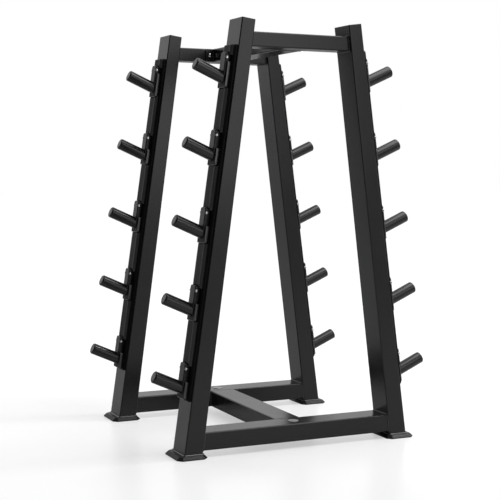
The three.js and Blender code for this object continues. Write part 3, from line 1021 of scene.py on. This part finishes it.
CAP_FORM = cap_form()
UPRIGHT = Matrix.Rotation(-QUARTER, 4, "Y")
for end in ENDS:
    seat = frame_shift(end) @ Matrix.Translation((0, 0, BASE_BAR[1])) @ UPRIGHT
    make(f"base_cap_{end}", CAP_FORM, [MATT_ZINC], seat)


# Pegs

def peg_form():
    """Rubber sleeve with a rolled tip, a thin dark groove inside the rim and a slightly domed end."""
    profile = [(-PEG_ROOT, PEG_RADIUS), (PEG_FIRST_RING, PEG_RADIUS), (PEG_LENGTH / 2, PEG_RADIUS)]
    for depth, width in quarter_round(PEG_TIP_STEPS):
        profile.append((PEG_LENGTH - PEG_TIP * (1 - depth), PEG_RADIUS - PEG_TIP * width))
    groove = PEG_RADIUS - PEG_TIP - PEG_RIM
    profile += [(PEG_LENGTH - below, groove + out) for below, out in PEG_END_TURN]
    profile.append((PEG_LENGTH, groove * PEG_FLAT_SHARE))
    return turned(profile, PEG_SIDES)


PEG_FORM = peg_form()
TILT = Matrix.Rotation(-PEG_TILT, 4, "Y")
for end, side in PLACES:
    for peg, height in enumerate(PEG_HEIGHTS):
        name = f"{end}_{side}_{peg + 1}"
        root = leg_matrix(end, side) @ Matrix.Translation((PAD_FACE, 0, height)) @ TILT
        make(f"rubber_peg_{name}", PEG_FORM, [RUBBER], root, [f"peg_{name}"])


# Floor, light and picture, in metres

FLOOR_HALF = 30.0
FLOOR_CUTS = 24
FLOOR_DROP = 0.00005


def make_floor():
    row = FLOOR_CUTS + 1
    steps = [FLOOR_HALF * (2 * i / FLOOR_CUTS - 1) for i in range(row)]
    verts = [(x, y, -FLOOR_DROP) for x in steps for y in steps]
    faces = []
    for i in range(FLOOR_CUTS):
        for j in range(FLOOR_CUTS):
            corner = i * row + j
            faces.append((corner, corner + row, corner + row + 1, corner + 1))
    mesh = bpy.data.meshes.new("floor")
    mesh.from_pydata(verts, [], faces)
    mesh.materials.append(floor_material())
    floor = bpy.data.objects.new("floor", mesh)
    bpy.context.scene.collection.objects.link(floor)


WORLD_BACK = (-0.15, 0.98, 0.1)
WORLD_BACK_STOPS = [(0.05, 0.45), (0.3, 0.45), (0.5, 0.55), (0.8, 0.76)]
WORLD_LEFT = (-0.9, -0.42, 0.1)
WORLD_LEFT_STOPS = [(0.54, 1.0), (0.74, 0.04)]
WHITE = (1.0, 1.0, 1.0, 1.0)


def make_world():
    """A pale room: bright behind the rack, softer in front of it and dark to the left."""
    world = bpy.data.worlds.new("studio")
    bpy.context.scene.world = world
    world.use_nodes = True
    tree = world.node_tree
    tree.nodes.clear()
    where = tree.nodes.new("ShaderNodeTexCoord").outputs["Generated"]

    def towards(direction, stops):
        """A grey that depends on how far a ray points in a direction: 0 away from it, 1 along it."""
        dot = tree.nodes.new("ShaderNodeVectorMath")
        dot.operation = "DOT_PRODUCT"
        dot.inputs[1].default_value = direction
        share = tree.nodes.new("ShaderNodeMapRange")
        share.inputs["From Min"].default_value = -1.0
        ramp = tree.nodes.new("ShaderNodeValToRGB")
        set_stops(ramp.color_ramp, stops)
        tree.links.new(where, dot.inputs[0])
        tree.links.new(dot.outputs["Value"], share.inputs["Value"])
        tree.links.new(share.outputs["Result"], ramp.inputs["Fac"])
        return ramp.outputs["Color"]

    room = tree.nodes.new("ShaderNodeBackground")
    tree.links.new(towards(WORLD_BACK, WORLD_BACK_STOPS), room.inputs["Color"])
    tree.links.new(towards(WORLD_LEFT, WORLD_LEFT_STOPS), room.inputs["Strength"])
    seen = tree.nodes.new("ShaderNodeBackground")
    seen.inputs["Color"].default_value = WHITE
    choose = tree.nodes.new("ShaderNodeMixShader")
    path = tree.nodes.new("ShaderNodeLightPath")
    tree.links.new(path.outputs["Is Camera Ray"], choose.inputs["Fac"])
    tree.links.new(room.outputs["Background"], choose.inputs[1])
    tree.links.new(seen.outputs["Background"], choose.inputs[2])
    out = tree.nodes.new("ShaderNodeOutputWorld")
    tree.links.new(choose.outputs["Shader"], out.inputs["Surface"])


def area_light(name, place, target, size, power):
    data = bpy.data.lights.new(name, "AREA")
    data.shape = "SQUARE"
    data.size = size
    data.energy = power
    light = bpy.data.objects.new(name, data)
    light.location = place
    light.rotation_euler = (Vector(target) - Vector(place)).to_track_quat("-Z", "Y").to_euler()
    bpy.context.scene.collection.objects.link(light)


LIGHTS = {
    "front_panel": {"place": (0.8, -4.4, 2.1), "target": (0.0, 0.0, 1.0), "size": 2.8, "power": 25.0},
    "overhead": {"place": (1.4, -1.0, 4.2), "target": (0.0, 0.0, 0.5), "size": 3.2, "power": 90.0},
    "right_panel": {"place": (3.0, -0.8, 3.5), "target": (0.0, 0.0, 0.9), "size": 0.9, "power": 36.0},
}

make_floor()
make_world()
for name, values in LIGHTS.items():
    area_light(name, **values)
bpy.context.scene.view_settings.view_transform = "Standard"
